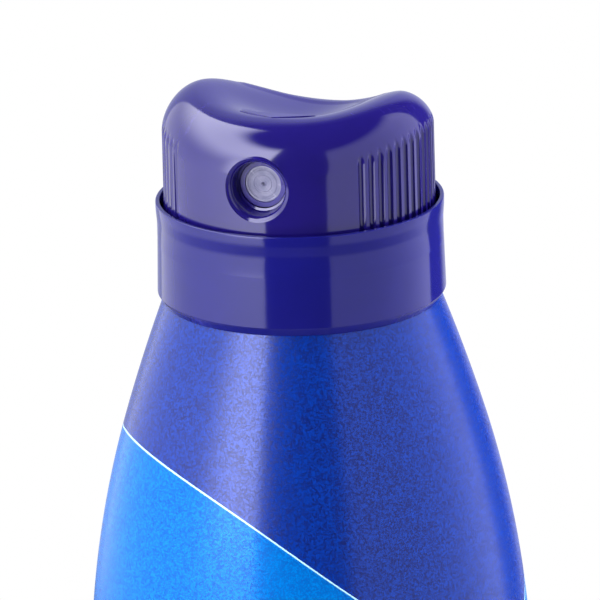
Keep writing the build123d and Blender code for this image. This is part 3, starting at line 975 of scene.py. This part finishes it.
@dataclass
class CanBody:
    """The drawn aluminium can, from its domed base to its rolled edge."""

    radius: float = 26.5
    wall: float = 0.45
    cylinder_top: float = 118.9
    shoulder_break: float = 155.0
    shoulder_top: float = 169.2
    lower_arc: float = 125.1
    upper_arc: float = 221.0
    neck: float = 13.1
    neck_foot: float = 171.6
    curl_z: float = 173.25
    curl_middle: float = 13.9
    curl: float = 1.2
    curl_sheet: float = 0.4
    dome: float = 8.5
    foot_in: float = 21.8
    foot_out: float = 23.4
    segments: int = 288

    def arc(self, centre: tuple[float, float], radius: float, start: float, end: float,
            steps: int) -> list[tuple[float, float]]:
        """Points on an arc of the outline.

        Args:
            centre: Its centre, radius from the axis and height.
            radius: Its radius.
            start, end: Its angles, in radians from outwards.
            steps: Points along it.

        Returns:
            The points.
        """
        angles = [start + (end - start) * step / steps for step in range(steps + 1)]
        return [(centre[0] + radius * math.cos(a), centre[1] + radius * math.sin(a)) for a in angles]

    def outside(self) -> list[tuple[float, float]]:
        """The outline from the middle of the dome to the foot of the rolled edge."""
        dome_r = (self.foot_in ** 2 + self.dome ** 2) / (2 * self.dome)
        reach = math.asin(self.foot_in / dome_r)
        line = self.arc((0.0, self.dome - dome_r), dome_r, math.pi / 2, math.pi / 2 - reach, 20)
        line += rounded([line[-1] + (0.0,), (self.foot_out, 0.0, 0.3), (self.radius, 6.0, 4.5),
                         (self.radius, 14.0, 0.0)], 12)[1:]
        lower = (self.radius - self.lower_arc, self.cylinder_top)
        turn = math.asin((self.shoulder_break - self.cylinder_top) / self.lower_arc)
        line += [(self.radius, z) for z in np.linspace(24.0, self.cylinder_top - 4, 8)]
        line += self.arc(lower, self.lower_arc, 0.0, turn, 40)
        meet = line[-1]
        upper = (meet[0] - self.upper_arc * math.cos(turn), meet[1] - self.upper_arc * math.sin(turn))
        end = math.asin((self.shoulder_top - upper[1]) / self.upper_arc)
        line += self.arc(upper, self.upper_arc, turn, end, 16)[1:]
        line += rounded([line[-1] + (0.0,), (self.neck, self.neck_foot, 0.5),
                         (self.neck, self.curl_z - 0.9, 0.0)], 6)[1:]
        return line

    def build(self, palette: Palette) -> bpy.types.Object:
        """Build the can.

        Args:
            palette: The finishes.

        Returns:
            The piece.
        """
        line = self.outside()
        middle = (self.curl_middle, self.curl_z)
        hollow = self.arc(middle, self.curl - self.curl_sheet, math.pi, math.radians(-70), 20)
        rolled = self.arc(middle, self.curl, math.radians(-70), math.pi, 28)
        inside = [(max(0.0, r - self.wall), z) for r, z in line if z > 0.5 and r > self.neck + 0.2]
        inside = [(r, z) for r, z in inside if z > self.dome + 1.0]
        lowered = [(r, z + self.wall) for r, z in line[:21]]
        draft = Draft()
        loop = line + hollow + rolled
        loop += [(self.neck - self.wall, self.curl_z - 0.4), (self.neck - self.wall, self.neck_foot - 0.2)]
        loop += list(reversed(inside)) + [(self.foot_out - 0.2, self.wall)] + list(reversed(lowered))
        draft.add(*lathe(loop, self.segments))
        body = draft.piece("can_body", [palette.can, palette.bare])
        self._dress(body.data)
        settle(body, "can", "can_print", "can_shell")
        return body

    def _dress(self, mesh: bpy.types.Mesh) -> None:
        """Leave the base, the rolled edge and the inside bare.

        Args:
            mesh: The can's mesh.
        """
        for face in mesh.polygons:
            centre = face.center / MM
            outward = face.normal.x * centre.x + face.normal.y * centre.y
            under = math.hypot(centre.x, centre.y) < self.foot_out and centre.z < self.dome + 1
            bare = under or outward < 0 or centre.z > self.neck_foot + 0.3
            face.material_index = (Band.BARE if bare else Band.OUTSIDE).value


# ---------------------------------------------------------------- the collar


@dataclass
class Collar:
    """The ring that clips under the valve cup, with the well that the head moves in."""

    foot: float = -12.1
    wall: float = 16.87
    flare: float = 17.05
    lip: float = 17.0
    bore: float = 16.0
    well: float = 16.38
    deck_foot: float = -6.1
    deck_top: float = -4.9
    deck_hole: float = 9.0
    segments: int = 288
    beads: int = 8
    bead_arc: float = 22.0

    def outline(self) -> list[tuple[float, float]]:
        """The collar's section, heights from its rim."""
        return rounded([
            (self.well + 0.04, -0.25, 0.0), (self.well + 0.16, 0.0, 0.08), (self.lip, 0.0, 0.16),
            (self.lip, -1.0, 9.0), (self.wall, -2.6, 9.0), (self.wall + 0.005, -4.9, 0.0),
            (self.wall + 0.02, -5.0, 0.0), (self.wall + 0.02, -5.1, 0.0),
            (self.flare, -11.1, 0.2), (self.flare - 0.6, self.foot, 0.1),
            (self.bore + 0.35, self.foot, 0.12), (self.bore, self.foot + 1.4, 0.2),
            (self.bore, self.deck_foot, 0.3), (self.deck_hole, self.deck_foot, 0.15),
            (self.deck_hole, self.deck_top, 0.2), (self.well, self.deck_top, 0.3),
            (self.well, -0.9, 0.2), (self.well + 0.04, -0.25, 0.0)], 5)[:-1]

    def build(self, palette: Palette, trees: PartTrees) -> bpy.types.Object:
        """Build the collar with its beads, stops and lugs.

        Args:
            palette: The finishes.
            trees: The geometry trees.

        Returns:
            The piece.
        """
        ring = Draft()
        ring.add(*lathe([(r, RIM_Z + z) for r, z in self.outline()], self.segments, closed=True))
        parts = [ring.piece("collar_ring", [palette.collar])]
        deck = RIM_Z + self.deck_top
        features = (
            (arc_block(15.4, 16.1, -self.bead_arc / 2, self.bead_arc / 2, 171.7, 172.6), self.beads, 0.0),
            (arc_block(9.4, 11.4, 5.4, 84.6, deck - 0.1, deck + 4.2, 24), 2, 90.0),
            (arc_block(12.5, 14.3, -10.6, 10.6, deck - 0.1, deck + 2.6), 2, 90.0))
        for shape, count, start in features:
            seed = Draft()
            seed.add(*shape)
            parts.append(grow(seed.piece("collar_feature", [palette.collar]), trees.ring, "collar_features",
                              32.0, Count=count, Start=math.radians(start), Material=palette.collar))
        collar = joined("collar_ring", parts, 32.0)
        settle(collar, "can", "collar_plastic", "collar")
        return collar


# ---------------------------------------------------------------- the spray head


@dataclass
class SprayHead:
    """The push-down head: a finger dish, grip grooves on both sides and the spray window."""

    foot: float = -2.8
    wall: float = 1.35
    ceiling: float = 1.4
    dish_middle: float = 9.144
    edge_height: float = 11.654
    edge_waves: tuple[float, ...] = (1.62, -1.405, 0.281, 0.085)
    wall_radius_at_rim: float = 16.027
    draft: float = 0.00524
    groove_start: float = 45.4
    groove_pitch: float = 4.8
    grooves: int = 19
    groove_radius: float = 0.45
    groove_depth: float = 0.35
    bend: float = 1.17
    window_height: float = 5.26
    window_radius: float = 3.85
    bore_radius: float = 3.22
    band_height: float = 0.12
    band_half: float = 50.0
    band_inner: float = 0.9

    def crest(self, angle: np.ndarray) -> tuple[np.ndarray, np.ndarray, np.ndarray]:
        """The dish's raised edge.

        Args:
            angle: Radians round from the nozzle.

        Returns:
            Its height over the collar's rim, its radius, and the height of the rounding below it.
        """
        height = self.edge_height
        for order, wave in enumerate(self.edge_waves, 1):
            height = height + wave * np.cos(order * angle)
        radius = 11.3 - 0.686 * np.cos(angle) - 0.783 * np.cos(2 * angle)
        return height, radius, 4.215 + 1.228 * np.cos(angle)

    def wall_radius(self, height: np.ndarray) -> np.ndarray:
        """Outside radius of the wall, with its mould draft."""
        return self.wall_radius_at_rim - self.draft * height

    def dish(self, share: np.ndarray, angle: np.ndarray) -> np.ndarray:
        """Height of the finger dish.

        Args:
            share: 0 at the middle and 1 at the raised edge.
            angle: Radians round from the nozzle.

        Returns:
            Height over the collar's rim.
        """
        even = 2 * share ** 2 - share ** 4
        odd = (3 * share - share ** 3) / 2
        third = (5 * share ** 3 - 3 * share ** 5) / 2
        fourth = 4 * share ** 3 - 3 * share ** 4
        height = self.dish_middle + (self.edge_height - self.dish_middle) * even
        for order, (wave, profile) in enumerate(zip(self.edge_waves, (odd, even, third, fourth)), 1):
            height = height + wave * profile * np.cos(order * angle)
        return height

    def dish_at(self, x: float, y: float) -> float:
        """Height of the dish over the foot of the can at a place, in millimetres."""
        angle = np.array(math.atan2(x, -y))
        share = min(1.0, math.hypot(x, y) / float(self.crest(angle)[1]))
        return RIM_Z + float(self.dish(np.array(share), angle))

    def angles(self) -> np.ndarray:
        """Angles of the mesh's columns, close together where the grooves are."""
        per_groove = 12
        end = self.groove_start + (self.grooves - 0.5) * self.groove_pitch
        start = self.groove_start - self.groove_pitch / 2
        side = np.linspace(start, end, self.grooves * per_groove + 1)
        front = np.linspace(-start, start, 72)[1:-1]
        back = np.linspace(end, 360 - end, 64)[1:-1]
        return np.radians(np.concatenate([front, side, back, 360 - side[::-1]]))

    def skin(self) -> tuple[list[tuple[float, float, float]], list[tuple[int, ...]]]:
        """The closed shell before its grooves and window are cut.

        Returns:
            Points and faces.
        """
        angle = self.angles()
        zc, rc, rise = self.crest(angle)
        top = zc - rise
        rows: list[tuple[np.ndarray, np.ndarray]] = []
        band = self.band_height * np.clip((self.band_half - np.abs(np.degrees(angle) - 180)) / 5 + 1, 0, 1)
        for share in np.linspace(0.04, 1.0, 26):
            raised = band if share > self.band_inner else 0.0
            rows.append((rc * share, self.dish(np.full_like(angle, share), angle) + raised))
        for turn in np.radians(np.linspace(90, 0, 22)[1:]):
            level = top + rise * math.sin(turn) ** self.bend
            rows.append((rc + (self.wall_radius(level) - rc) * math.cos(turn) ** self.bend, level))
        for share in np.linspace(0, 1, 20)[1:]:
            level = top + (self.foot + 0.12 - top) * share
            rows.append((self.wall_radius(level), level))
        level = np.full_like(angle, self.foot)
        rows.append((self.wall_radius(level) - 0.12, level))
        rows.append((self.wall_radius(level) - self.wall + 0.1, level))
        rows.append((self.wall_radius(level) - self.wall, level + 0.12))
        for share in np.linspace(0, 1, 6)[1:]:
            level = self.foot + 0.12 + (top - 0.6 - self.foot - 0.12) * share
            rows.append((self.wall_radius(level) - self.wall, level))
        lid = rc - 0.9
        for turn in np.radians(np.linspace(0, 90, 8)[1:]):
            level = top - 0.6 + (rise - 0.8) * math.sin(turn)
            rows.append((lid + (self.wall_radius(level) - self.wall - lid) * math.cos(turn), level))
        for share in np.linspace(1.0, 0.08, 10)[1:]:
            rows.append((lid * share, self.dish(np.full_like(angle, share), angle) - self.ceiling))
        columns = len(angle)
        points = [(float(r * math.sin(a)), float(-r * math.cos(a)), RIM_Z + float(z))
                  for radii, heights in rows for r, z, a in zip(radii, heights, angle)]
        faces = []
        for row in range(len(rows) - 1):
            for column in range(columns):
                after = (column + 1) % columns
                faces.append((row * columns + column, row * columns + after,
                              (row + 1) * columns + after, (row + 1) * columns + column))
        last = (len(rows) - 1) * columns
        for base, level in ((0, self.dish_middle), (last, self.dish_middle - self.ceiling)):
            pole = len(points)
            points.append((0.0, 0.0, RIM_Z + level))
            faces += [(base + column, base + (column + 1) % columns, pole) for column in range(columns)]
        return points, faces

    def window_ring(self) -> tuple[list[tuple[float, float, float]], list[tuple[int, ...]]]:
        """The bevelled rim of the spray window, which follows the wall.

        Returns:
            Points and faces.
        """
        section = [(3.86, -0.02), (3.80, 0.03), (3.74, 0.09), (3.66, 0.13), (3.52, 0.22), (3.38, 0.38),
                   (3.29, 0.55), (3.24, 0.72), (self.bore_radius, 0.95), (self.bore_radius - 0.06, 1.9),
                   (3.08, 2.3), (2.82, 2.42), (2.82, 2.6), (3.3, 2.6), (3.86, 1.9), (3.88, 1.0)]
        points, faces, turns = [], [], 144
        for radius, depth in section:
            for step in range(turns):
                angle = 2 * math.pi * step / turns
                x, z = radius * math.cos(angle), self.window_height + radius * math.sin(angle)
                wall = float(self.wall_radius(np.array(z)))
                points.append((x, depth - math.sqrt(wall ** 2 - x ** 2), RIM_Z + z))
        for row in range(len(section)):
            below = (row + 1) % len(section)
            for step in range(turns):
                after = (step + 1) % turns
                faces.append((row * turns + step, row * turns + after, below * turns + after,
                              below * turns + step))
        return points, faces

    def mark(self) -> tuple[list[tuple[float, float, float]], list[tuple[int, ...]]]:
        """A small raised arrow in the dish that points to the nozzle.

        Returns:
            Points and faces.
        """
        relief, depth = 0.06, 0.2
        edge = [(0.0, -9.5), (4.6, -7.3), (1.5, -7.7), (1.5, -5.7), (-1.5, -5.7), (-1.5, -7.7),
                (-4.6, -7.3)]
        count = len(edge)
        points = [(x, y, self.dish_at(x, y) + relief) for x, y in edge]
        points += [(x * 1.06, (y + 7.7) * 1.04 - 7.7, self.dish_at(x, y) - depth) for x, y in edge]
        faces = [(0, 1, 6), (2, 3, 4, 5), (2, 5, 6, 1), tuple(count + c for c in (6, 1, 0)),
                 tuple(count + c for c in (5, 4, 3, 2)), tuple(count + c for c in (1, 6, 5, 2))]
        faces += [(c, (c + 1) % count, count + (c + 1) % count, count + c) for c in range(count)]
        return points, faces

    def build(self, palette: Palette, trees: PartTrees) -> bpy.types.Object:
        """Build the head.

        Args:
            palette: The finishes.
            trees: The geometry trees.

        Returns:
            The piece.
        """
        shell = Draft()
        shell.add(*self.skin())
        grooved = grow(
            shell.piece("head_skin", [palette.head]), trees.grooves, "head_grooved", 40.0,
            Start=math.radians(self.groove_start), Pitch=math.radians(self.groove_pitch), Count=self.grooves,
            Groove_Radius=self.groove_radius * MM,
            Groove_Middle=(self.wall_radius_at_rim + self.groove_radius - self.groove_depth) * MM,
            Least_Radius=15.2 * MM, Material=palette.head)
        cutter = Draft()
        near, far = 12.0, 18.0
        drilled = [(0.0, near), (self.window_radius, near), (self.window_radius, far), (0.0, far)]
        points, faces = lathe(drilled, 144)
        cutter.add([(x, -z, RIM_Z + self.window_height + y) for x, y, z in points], faces)
        drill = cutter.piece("window_cutter", [palette.head])
        cut = grooved.modifiers.new("window", "BOOLEAN")
        cut.operation, cut.solver, cut.object = "DIFFERENCE", "EXACT", drill
        opened = bake(grooved, "head_opened", 34.0)
        bpy.data.objects.remove(drill)
        extras = Draft()
        extras.add(*self.window_ring())
        extras.add(*self.mark())
        self._frame(extras)
        parts = [opened, extras.piece("head_extras", [palette.head])]
        hook = Draft()
        hook.add(*arc_block(8.3, 9.7, -12.5, 12.5, RIM_Z - 7.7, RIM_Z - 6.4))
        parts.append(grow(hook.piece("head_hook", [palette.head]), trees.ring, "head_hooks", 32.0,
                          Count=3, Start=math.radians(30), Material=palette.head))
        head = joined("spray_head_shell", parts, 34.0)
        settle(head, "spray_head", "head_plastic", "head_shell")
        return head

    def _frame(self, draft: Draft) -> None:
        """Add the guide ring, the stop ribs and the lock ribs inside the head.

        Args:
            draft: The draft that they go into.
        """
        arm = RIM_Z + 2.2

        def under_dish(x: float, y: float) -> float:
            """Height half way through the dish's wall."""
            return self.dish_at(x, y) - 0.8

        draft.add(*lathe([(7.6, RIM_Z - 7.7), (8.6, RIM_Z - 7.7), (8.6, arm), (7.6, arm)], 96, closed=True))
        draft.add(*arc_block(7.6, 8.6, -66.0, 246.0, arm - 0.05, under_dish, 96))
        for side in (0.0, 180.0):
            draft.add(*arc_block(8.3, 11.4, side - 4.5, side + 4.5, RIM_Z - 2.4, under_dish, 4))
            draft.add(*arc_block(12.5, 14.8, side - 3.3, side + 3.3, RIM_Z - 0.2, RIM_Z + 7.0, 4))


# ---------------------------------------------------------------- nozzle and valve


@dataclass
class NozzleInsert:
    """The small turned cup with the spray hole."""

    radius: float = 2.2
    front: float = 13.1
    back: float = 10.6
    post: float = 1.32
    face: float = 0.6

    def build(self, palette: Palette, window_z: float) -> bpy.types.Object:
        """Build the insert.

        Args:
            palette: The finishes.
            window_z: Height of its axis in millimetres.

        Returns:
            The piece.
        """
        front, out = self.front, self.radius
        outline = [(0.0, front - 0.42), (0.14, front - 0.4), (0.15, front - 0.14), (0.3, front - 0.02),
                   (0.36, front - 0.05), (0.52, front - 0.05), (0.6, front - 0.03), (0.95, front - 0.03),
                   (1.02, front - 0.07), (1.16, front - 0.07), (1.24, front - 0.02), (1.6, front - 0.02),
                   (1.68, front - 0.08), (1.84, front - 0.08), (1.92, front), (out - 0.12, front),
                   (out - 0.03, front - 0.04), (out, front - 0.14), (out, self.back + 0.1),
                   (out - 0.1, self.back), (self.post, self.back), (self.post, front - self.face - 0.02),
                   (0.0, front - self.face - 0.02)]
        points, faces = lathe(outline, 128)
        draft = Draft()
        draft.add([(x, -z, window_z + y) for x, y, z in points], faces)
        insert = draft.piece("spray_insert", [palette.insert], 28.0)
        settle(insert, "spray_head", "insert_plastic", "nozzle_insert")
        return insert


class ValveTrain:
    """The pieces inside the neck and the head whose CAD shapes are kept."""

    def dress(self, palette: Palette) -> None:
        """Give each CAD node its finish.

        Args:
            palette: The finishes.
        """
        finishes = {"valve_cup": palette.cup, "cup_gasket": palette.rubber, "stem_gasket": palette.rubber,
                    "valve_housing": palette.valve, "valve_stem": palette.stem,
                    "valve_spring": palette.spring, "dip_tube": palette.tube,
                    "spray_channel": palette.channel}
        for node, material in finishes.items():
            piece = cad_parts[node]
            if not piece.material_slots:
                piece.data.materials.append(material)
            for place in piece.material_slots:
                place.material = material
            LOG.info("%s: dressed in %s", node, material.name)


# ---------------------------------------------------------------- studio


@dataclass(frozen=True)
class Studio:
    """Floor, lights and camera."""

    azimuth: float = 18.5
    elevation: float = 17.5
    distance: float = 0.9
    roll: float = -1.48
    lens: float = 456.8
    drop: float = 12.89
    aside: float = -0.27
    radiance: float = 1.0

    def floor(self) -> None:
        """A pale floor that keeps the shadow near the can and turns white further off."""
        plate = bpy.data.meshes.new("floor")
        reach, count = 0.42, 96
        turns = [2 * math.pi * n / count for n in range(count)]
        ring = [(reach * math.cos(turn), reach * math.sin(turn), -0.0002) for turn in turns]
        plate.from_pydata(ring, [], [tuple(range(count))])
        ground = bpy.data.objects.new("floor", plate)
        bpy.context.scene.collection.objects.link(ground)
        material = bpy.data.materials.new("floor_paper")
        material.use_nodes = True
        w = Wiring(material.node_tree)
        shader = material.node_tree.nodes["Principled BSDF"]
        rays = w.node("ShaderNodeLightPath")
        paper, mirrored = shade(236, 236, 238), shade(112, 112, 116)
        w.fill(shader, Base_Color=w.mix(rays.outputs["Is Glossy Ray"], paper, mirrored), Roughness=0.9)
        split = w.node("ShaderNodeVectorMath", operation="LENGTH")
        w.feed(split.inputs[0], w.node("ShaderNodeTexCoord").outputs["Object"])
        far = w.ramp(split.outputs["Value"], 0.1, 0.34)
        seen = w.math(Blend.MAXIMUM, rays.outputs["Is Camera Ray"], rays.outputs["Is Transmission Ray"])
        glow = w.node("ShaderNodeEmission")
        w.fill(glow, Color=(1.0, 1.0, 1.0, 1.0), Strength=1.0)
        mixed = w.node("ShaderNodeMixShader")
        w.feed(mixed.inputs[0], w.math(Blend.MULTIPLY, far, seen))
        w.feed(mixed.inputs[1], shader.outputs[0])
        w.feed(mixed.inputs[2], glow.outputs[0])
        w.feed(material.node_tree.nodes["Material Output"].inputs["Surface"], mixed.outputs[0])
        plate.materials.append(material)

    def softbox(self, name: str, start: float, end: float, away: float, height: float, middle: float,
                strength: float) -> None:
        """A large soft light that spans a range of angles round the can.

        Args:
            name: Its name.
            start, end: Its edges, in degrees round from the camera.
            away: Its distance in metres.
            height: Its height in metres.
            middle: The height of its centre in metres.
            strength: Its brightness as a share of the studio's.
        """
        half = math.radians((end - start) / 2)
        bearing = math.radians(self.azimuth + (start + end) / 2)
        place = Vector((away * math.sin(bearing), -away * math.cos(bearing), middle))
        towards = Vector((0.0, 0.0, middle)) - place
        self.lamp(name, place, towards, 2 * away * math.tan(half), height, strength)

    def wall(self, name: str, edges: tuple[float, float], away: float, heights: tuple[float, float],
             strengths: tuple[float, float], crown: float = 0.0, streak: float = 0.0) -> None:
        """A tall curved light, brighter towards one upright edge and fading out at its top.

        Args:
            name: Its name.
            edges: Its edges, in degrees round from the camera.
            away: Its distance in metres.
            heights: Its lower and upper edge in metres.
            strengths: Its brightness at each upright edge, as shares of the studio's.
            crown: How much brighter it is in its upper half.
            streak: How much brighter it is beside its second edge, above the foot.
        """
        steps = 24
        sheet = bpy.data.meshes.new(name)
        points = []
        for step in range(steps + 1):
            turn = math.radians(self.azimuth + edges[0] + (edges[1] - edges[0]) * step / steps)
            points += [(away * math.sin(turn), -away * math.cos(turn), height) for height in heights]
        sheet.from_pydata(points, [], [(2 * n, 2 * n + 2, 2 * n + 3, 2 * n + 1) for n in range(steps)])
        layer = sheet.uv_layers.new(name="share")
        for corner, loop in zip(layer.data, sheet.loops):
            corner.uv = (loop.vertex_index // 2 / steps, loop.vertex_index % 2)
        made = bpy.data.objects.new(name, sheet)
        made.visible_camera = made.visible_shadow = False
        bpy.context.scene.collection.objects.link(made)
        material = bpy.data.materials.new(name)
        material.use_nodes = True
        w = Wiring(material.node_tree)
        split = w.node("ShaderNodeSeparateXYZ")
        w.feed(split.inputs[0], w.node("ShaderNodeTexCoord").outputs["UV"])
        glow = w.node("ShaderNodeEmission")
        across, up = split.outputs["X"], split.outputs["Y"]
        rise, foot_dim = 0.04, 0.35                # the foot is dimmer, up to this share of the height
        beam_across, beam_foot, beam_top = (0.66, 0.88), (0.07, 0.16), (0.28, 0.42)
        crown_foot, fade = (0.26, 0.5), (0.66, 1.0)
        along = w.ramp(across, 0.3, 1.0, *(self.radiance * part for part in strengths))
        level = w.math(Blend.MULTIPLY, along, w.ramp(up, 0.0, rise, foot_dim, 1.0))
        beam = w.math(Blend.MULTIPLY, w.ramp(across, *beam_across),
                      w.ramp(up, *beam_foot, 0.0, self.radiance * streak))
        beam = w.math(Blend.MULTIPLY, beam, w.ramp(up, *beam_top, 1.0, 0.0))
        level = w.math(Blend.ADD, level, beam)
        upper = w.math(Blend.ADD, level, w.ramp(up, *crown_foot, 0.0, self.radiance * crown))
        w.feed(glow.inputs["Strength"], w.math(Blend.MULTIPLY, upper, w.ramp(up, *fade, 1.0, 0.0)))
        w.feed(material.node_tree.nodes["Material Output"].inputs["Surface"], glow.outputs[0])
        sheet.materials.append(material)

    def lamp(self, name: str, place: Vector, towards: Vector, width: float, height: float,
             strength: float) -> None:
        """An area light that neither the camera nor a reflection sees.

        Args:
            name: Its name.
            place: Where it stands.
            towards: Where it points.
            width, height: Its size in metres.
            strength: Its brightness as a share of the studio's.
        """
        lamp = bpy.data.lights.new(name, "AREA")
        lamp.shape, lamp.size, lamp.size_y = "RECTANGLE", width, height
        lamp.energy = 4 * width * height * self.radiance * strength
        made = bpy.data.objects.new(name, lamp)
        made.location = place
        made.rotation_euler = towards.to_track_quat("-Z", "Y").to_euler()
        made.visible_camera = made.visible_glossy = False
        bpy.context.scene.collection.objects.link(made)

    def lights(self) -> None:
        """A wall of light on each side, the left one brighter in front and above, and a fill on the right."""
        self.wall("light_wall_left", (-150.0, -29.0), 0.4, (0.0, 1.25), (1.35, 2.6), 3.2, 5.5)
        self.wall("light_wall_right", (22.5, 123.0), 0.4, (0.0, 0.9), (0.85, 1.3))
        self.softbox("fill_right", 92.0, 148.0, 0.38, 0.7, 0.36, 8.0)

    def world(self) -> None:
        """A white surround for the camera and dim light for everything else."""
        world = bpy.data.worlds.new("studio")
        bpy.context.scene.world = world
        world.use_nodes = True
        w = Wiring(world.node_tree)
        rays = w.node("ShaderNodeLightPath")
        way = w.node("ShaderNodeTexCoord").outputs["Generated"]
        bearing = math.radians(self.azimuth - 163.0)
        level = w.node("ShaderNodeVectorMath", operation="MULTIPLY")
        w.feed(level.inputs[0], way)
        level.inputs[1].default_value = (1.0, 1.0, 0.0)
        flat = w.node("ShaderNodeVectorMath", operation="NORMALIZE")
        w.feed(flat.inputs[0], level.outputs[0])
        side = w.node("ShaderNodeVectorMath", operation="DOT_PRODUCT")
        w.feed(side.inputs[0], flat.outputs[0])
        side.inputs[1].default_value = (math.sin(bearing), -math.cos(bearing), 0.0)
        height = w.node("ShaderNodeSeparateXYZ")
        w.feed(height.inputs[0], way)
        sideways, upwards = (0.6, 0.92), (0.5, 0.95)        # where the mirrored backdrop fades out
        behind = w.math(Blend.MULTIPLY, w.ramp(side.outputs["Value"], *sideways),
                        w.ramp(height.outputs["Z"], *upwards, 1.0, 0.0))
        shiny = w.math(Blend.MULTIPLY, rays.outputs["Is Glossy Ray"], behind)
        seen = w.math(Blend.MAXIMUM, rays.outputs["Is Camera Ray"], rays.outputs["Is Transmission Ray"])
        white = w.math(Blend.MAXIMUM, seen, shiny)
        dim, dark, bright, mirrored = 0.2, 0.05, 1.0, 0.74
        quiet = w.ramp(rays.outputs["Is Glossy Ray"], 0.0, 1.0, dim, dark)
        back = world.node_tree.nodes["Background"]
        level_white = w.ramp(shiny, 0.0, 1.0, bright, mirrored)
        w.feed(back.inputs["Strength"], w.ramp(white, 0.0, 1.0, quiet, level_white))
        plain, bluish = (1.0, 1.0, 1.0, 1.0), (0.74, 0.77, 1.0, 1.0)
        w.feed(back.inputs["Color"], w.mix(shiny, plain, bluish))

    def camera(self) -> None:
        """The camera, well back with a long lens."""
        bearing, tilt = math.radians(self.azimuth), math.radians(self.elevation)
        right = Vector((math.cos(bearing), math.sin(bearing), 0.0))
        aim = Vector((0.0, 0.0, (RIM_Z - self.drop) * MM)) + right * (self.aside * MM)
        away = Vector((math.sin(bearing) * math.cos(tilt), -math.cos(bearing) * math.cos(tilt),
                       math.sin(tilt)))
        lens = bpy.data.cameras.new("camera")
        lens.lens, lens.sensor_width = self.lens, 36.0
        lens.clip_start, lens.clip_end = 0.01, 50.0
        made = bpy.data.objects.new("camera", lens)
        made.location = aim + away * self.distance
        turn = (-away).to_track_quat("-Z", "Y").to_matrix() @ Matrix.Rotation(math.radians(self.roll), 3, "Z")
        made.rotation_euler = turn.to_euler()
        bpy.context.scene.collection.objects.link(made)
        bpy.context.scene.camera = made

    def build(self) -> None:
        """Set the whole studio."""
        self.floor()
        self.lights()
        self.world()
        self.camera()
        bpy.context.scene.view_settings.view_transform = "Standard"


def main() -> None:
    """Build every sub-assembly in order and report it."""
    logging.basicConfig(level=logging.INFO, format="%(name)s %(message)s")
    Studio().build()
    groups = ShaderGroups()
    trees = PartTrees()
    head = SprayHead()
    window_z = RIM_Z + head.window_height
    palette = Palette(groups, window_z)
    CanBody().build(palette)
    Collar().build(palette, trees)
    head.build(palette, trees)
    NozzleInsert().build(palette, window_z)
    ValveTrain().dress(palette)


if __name__ == "__main__":
    main()
